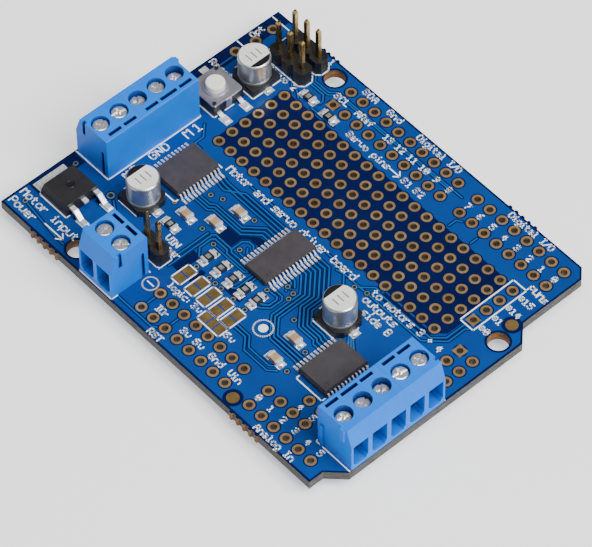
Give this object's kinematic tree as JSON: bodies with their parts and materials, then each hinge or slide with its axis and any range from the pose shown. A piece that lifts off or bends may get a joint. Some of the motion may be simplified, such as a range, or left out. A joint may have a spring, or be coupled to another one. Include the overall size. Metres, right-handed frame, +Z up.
{
  "type": "servo driver board",
  "caption": "Flat rectangular circuit board shield with screw terminals, pin headers, driver chips and a reset button, for driving motors and hobby servos.",
  "frame": {"origin": "centre of the board outline, level with the lowest solder tails", "axes": "+X along the long side towards the rounded-corner end, +Y across the board towards the servo header side, +Z up out of the component side"},
  "size_m": [0.0686, 0.0538, 0.0121],
  "materials": {
    "capacitor_base": "moulded black resin",
    "can_aluminium": "drawn aluminium",
    "tinned_lead": "tin-plated leads",
    "ceramic_body": "sintered ceramic",
    "resistor_body": "glazed black overcoat on ceramic",
    "board": "glossy blue solder mask over glass-epoxy laminate",
    "gold_plating": "gold plating over copper",
    "header_gold": "gold-plated pins",
    "header_black": "moulded, matte black",
    "clamp_steel": "zinc-plated steel",
    "screw_steel": "nickel-plated steel",
    "terminal_plastic": "moulded polyamide, satin",
    "epoxy": "fine-textured moulding compound",
    "switch_black": "moulded, matte",
    "switch_cover": "stamped stainless steel",
    "plunger": "moulded cream plastic",
    "solder": "bright solder",
    "tinned_contact": "tin-plated brass"
  },
  "bodies": {
    "board_assembly": {"capacitor_bases": "capacitor_base", "capacitor_cans": "can_aluminium", "capacitor_leads": "tinned_lead", "ceramic_capacitor_bodies": "ceramic_body", "ceramic_capacitor_ends": "tinned_lead", "chip_resistor_bodies": "resistor_body", "chip_resistor_ends": "tinned_lead", "circuit_board": "board", "jumper_lands": "gold_plating", "logic_header_pins": "header_gold", "logic_header_shroud": "header_black", "motor_1_2_terminal_2way_housing": "terminal_plastic", "motor_1_2_terminal_3way_housing": "terminal_plastic", "motor_3_4_terminal_2way_housing": "terminal_plastic", "motor_3_4_terminal_3way_housing": "terminal_plastic", "motor_driver_1_body": "epoxy", "motor_driver_1_leads": "tinned_lead", "motor_driver_2_body": "epoxy", "motor_driver_2_leads": "tinned_lead", "plated_holes": "gold_plating", "power_terminal_housing": "terminal_plastic", "pwm_controller_body": "epoxy", "pwm_controller_leads": "tinned_lead", "reset_switch_base": "switch_black", "reset_switch_cover": "switch_cover", "reset_switch_dome": "switch_cover", "reset_switch_terminals": "tinned_lead", "servo_header_pins": "header_gold", "servo_header_shrouds": "header_black", "solder_joints": "solder", "soldered_lands": "solder", "terminal_contacts": "tinned_contact", "transistor_body": "epoxy", "transistor_tab_and_leads": "tinned_lead", "via_lands": "gold_plating"},
    "power_screw_1": {"power_screw_1": "screw_steel"},
    "power_clamp_1": {"power_clamp_1": "clamp_steel"},
    "power_screw_2": {"power_screw_2": "screw_steel"},
    "power_clamp_2": {"power_clamp_2": "clamp_steel"},
    "motor_3_4_3way_screw_1": {"motor_3_4_3way_screw_1": "screw_steel"},
    "motor_3_4_3way_clamp_1": {"motor_3_4_3way_clamp_1": "clamp_steel"},
    "motor_3_4_3way_screw_2": {"motor_3_4_3way_screw_2": "screw_steel"},
    "motor_3_4_3way_clamp_2": {"motor_3_4_3way_clamp_2": "clamp_steel"},
    "motor_3_4_3way_screw_3": {"motor_3_4_3way_screw_3": "screw_steel"},
    "motor_3_4_3way_clamp_3": {"motor_3_4_3way_clamp_3": "clamp_steel"},
    "motor_3_4_2way_screw_1": {"motor_3_4_2way_screw_1": "screw_steel"},
    "motor_3_4_2way_clamp_1": {"motor_3_4_2way_clamp_1": "clamp_steel"},
    "motor_3_4_2way_screw_2": {"motor_3_4_2way_screw_2": "screw_steel"},
    "motor_3_4_2way_clamp_2": {"motor_3_4_2way_clamp_2": "clamp_steel"},
    "motor_1_2_2way_screw_1": {"motor_1_2_2way_screw_1": "screw_steel"},
    "motor_1_2_2way_clamp_1": {"motor_1_2_2way_clamp_1": "clamp_steel"},
    "motor_1_2_2way_screw_2": {"motor_1_2_2way_screw_2": "screw_steel"},
    "motor_1_2_2way_clamp_2": {"motor_1_2_2way_clamp_2": "clamp_steel"},
    "motor_1_2_3way_screw_1": {"motor_1_2_3way_screw_1": "screw_steel"},
    "motor_1_2_3way_clamp_1": {"motor_1_2_3way_clamp_1": "clamp_steel"},
    "motor_1_2_3way_screw_2": {"motor_1_2_3way_screw_2": "screw_steel"},
    "motor_1_2_3way_clamp_2": {"motor_1_2_3way_clamp_2": "clamp_steel"},
    "motor_1_2_3way_screw_3": {"motor_1_2_3way_screw_3": "screw_steel"},
    "motor_1_2_3way_clamp_3": {"motor_1_2_3way_clamp_3": "clamp_steel"},
    "reset_button": {"reset_switch_plunger": "plunger"}
  },
  "joints": [
    {"name": "power_clamp_1_lift", "type": "slide", "parent": "board_assembly", "child": "power_clamp_1", "axis": [0, 0, 1], "range_m": [0, 0.0014]},
    {"name": "power_screw_1_turn", "type": "hinge", "parent": "board_assembly", "child": "power_screw_1", "pos_m": [-0.01549, -0.02271, 0.0116], "axis": [0, 0, -1], "range_deg": [0, 1260]},
    {"name": "power_clamp_2_lift", "type": "slide", "parent": "board_assembly", "child": "power_clamp_2", "axis": [0, 0, 1], "range_m": [0, 0.0014]},
    {"name": "power_screw_2_turn", "type": "hinge", "parent": "board_assembly", "child": "power_screw_2", "pos_m": [-0.01199, -0.02271, 0.0116], "axis": [0, 0, -1], "range_deg": [0, 1260]},
    {"name": "motor_3_4_3way_clamp_1_lift", "type": "slide", "parent": "board_assembly", "child": "motor_3_4_3way_clamp_1", "axis": [0, 0, 1], "range_m": [0, 0.0014]},
    {"name": "motor_3_4_3way_screw_1_turn", "type": "hinge", "parent": "board_assembly", "child": "motor_3_4_3way_screw_1", "pos_m": [0.03069, -0.0194, 0.0116], "axis": [0, 0, -1], "range_deg": [0, 1260]},
    {"name": "motor_3_4_3way_clamp_2_lift", "type": "slide", "parent": "board_assembly", "child": "motor_3_4_3way_clamp_2", "axis": [0, 0, 1], "range_m": [0, 0.0014]},
    {"name": "motor_3_4_3way_screw_2_turn", "type": "hinge", "parent": "board_assembly", "child": "motor_3_4_3way_screw_2", "pos_m": [0.03069, -0.0159, 0.0116], "axis": [0, 0, -1], "range_deg": [0, 1260]},
    {"name": "motor_3_4_3way_clamp_3_lift", "type": "slide", "parent": "board_assembly", "child": "motor_3_4_3way_clamp_3", "axis": [0, 0, 1], "range_m": [0, 0.0014]},
    {"name": "motor_3_4_3way_screw_3_turn", "type": "hinge", "parent": "board_assembly", "child": "motor_3_4_3way_screw_3", "pos_m": [0.03069, -0.0124, 0.0116], "axis": [0, 0, -1], "range_deg": [0, 1260]},
    {"name": "motor_3_4_2way_clamp_1_lift", "type": "slide", "parent": "board_assembly", "child": "motor_3_4_2way_clamp_1", "axis": [0, 0, 1], "range_m": [0, 0.0014]},
    {"name": "motor_3_4_2way_screw_1_turn", "type": "hinge", "parent": "board_assembly", "child": "motor_3_4_2way_screw_1", "pos_m": [0.03069, -0.0089, 0.0116], "axis": [0, 0, -1], "range_deg": [0, 1260]},
    {"name": "motor_3_4_2way_clamp_2_lift", "type": "slide", "parent": "board_assembly", "child": "motor_3_4_2way_clamp_2", "axis": [0, 0, 1], "range_m": [0, 0.0014]},
    {"name": "motor_3_4_2way_screw_2_turn", "type": "hinge", "parent": "board_assembly", "child": "motor_3_4_2way_screw_2", "pos_m": [0.03069, -0.0054, 0.0116], "axis": [0, 0, -1], "range_deg": [0, 1260]},
    {"name": "motor_1_2_2way_clamp_1_lift", "type": "slide", "parent": "board_assembly", "child": "motor_1_2_2way_clamp_1", "axis": [0, 0, 1], "range_m": [0, 0.0014]},
    {"name": "motor_1_2_2way_screw_1_turn", "type": "hinge", "parent": "board_assembly", "child": "motor_1_2_2way_screw_1", "pos_m": [-0.03032, -0.00739, 0.0116], "axis": [0, 0, -1], "range_deg": [0, 1260]},
    {"name": "motor_1_2_2way_clamp_2_lift", "type": "slide", "parent": "board_assembly", "child": "motor_1_2_2way_clamp_2", "axis": [0, 0, 1], "range_m": [0, 0.0014]},
    {"name": "motor_1_2_2way_screw_2_turn", "type": "hinge", "parent": "board_assembly", "child": "motor_1_2_2way_screw_2", "pos_m": [-0.03032, -0.01089, 0.0116], "axis": [0, 0, -1], "range_deg": [0, 1260]},
    {"name": "motor_1_2_3way_clamp_1_lift", "type": "slide", "parent": "board_assembly", "child": "motor_1_2_3way_clamp_1", "axis": [0, 0, 1], "range_m": [0, 0.0014]},
    {"name": "motor_1_2_3way_screw_1_turn", "type": "hinge", "parent": "board_assembly", "child": "motor_1_2_3way_screw_1", "pos_m": [-0.03032, 0.00311, 0.0116], "axis": [0, 0, -1], "range_deg": [0, 1260]},
    {"name": "motor_1_2_3way_clamp_2_lift", "type": "slide", "parent": "board_assembly", "child": "motor_1_2_3way_clamp_2", "axis": [0, 0, 1], "range_m": [0, 0.0014]},
    {"name": "motor_1_2_3way_screw_2_turn", "type": "hinge", "parent": "board_assembly", "child": "motor_1_2_3way_screw_2", "pos_m": [-0.03032, -0.00039, 0.0116], "axis": [0, 0, -1], "range_deg": [0, 1260]},
    {"name": "motor_1_2_3way_clamp_3_lift", "type": "slide", "parent": "board_assembly", "child": "motor_1_2_3way_clamp_3", "axis": [0, 0, 1], "range_m": [0, 0.0014]},
    {"name": "motor_1_2_3way_screw_3_turn", "type": "hinge", "parent": "board_assembly", "child": "motor_1_2_3way_screw_3", "pos_m": [-0.03032, -0.00389, 0.0116], "axis": [0, 0, -1], "range_deg": [0, 1260]},
    {"name": "reset_button_press", "type": "slide", "parent": "board_assembly", "child": "reset_button", "axis": [0, 0, -1], "range_m": [0, 0.00025], "stiffness_N_per_m": 6000}
  ],
  "couplings": [
    {"joint": "power_screw_1_turn", "follows": "power_clamp_1_lift", "rad_per_m": 15708},
    {"joint": "power_screw_2_turn", "follows": "power_clamp_2_lift", "rad_per_m": 15708},
    {"joint": "motor_3_4_3way_screw_1_turn", "follows": "motor_3_4_3way_clamp_1_lift", "rad_per_m": 15708},
    {"joint": "motor_3_4_3way_screw_2_turn", "follows": "motor_3_4_3way_clamp_2_lift", "rad_per_m": 15708},
    {"joint": "motor_3_4_3way_screw_3_turn", "follows": "motor_3_4_3way_clamp_3_lift", "rad_per_m": 15708},
    {"joint": "motor_3_4_2way_screw_1_turn", "follows": "motor_3_4_2way_clamp_1_lift", "rad_per_m": 15708},
    {"joint": "motor_3_4_2way_screw_2_turn", "follows": "motor_3_4_2way_clamp_2_lift", "rad_per_m": 15708},
    {"joint": "motor_1_2_2way_screw_1_turn", "follows": "motor_1_2_2way_clamp_1_lift", "rad_per_m": 15708},
    {"joint": "motor_1_2_2way_screw_2_turn", "follows": "motor_1_2_2way_clamp_2_lift", "rad_per_m": 15708},
    {"joint": "motor_1_2_3way_screw_1_turn", "follows": "motor_1_2_3way_clamp_1_lift", "rad_per_m": 15708},
    {"joint": "motor_1_2_3way_screw_2_turn", "follows": "motor_1_2_3way_clamp_2_lift", "rad_per_m": 15708},
    {"joint": "motor_1_2_3way_screw_3_turn", "follows": "motor_1_2_3way_clamp_3_lift", "rad_per_m": 15708}
  ]
}
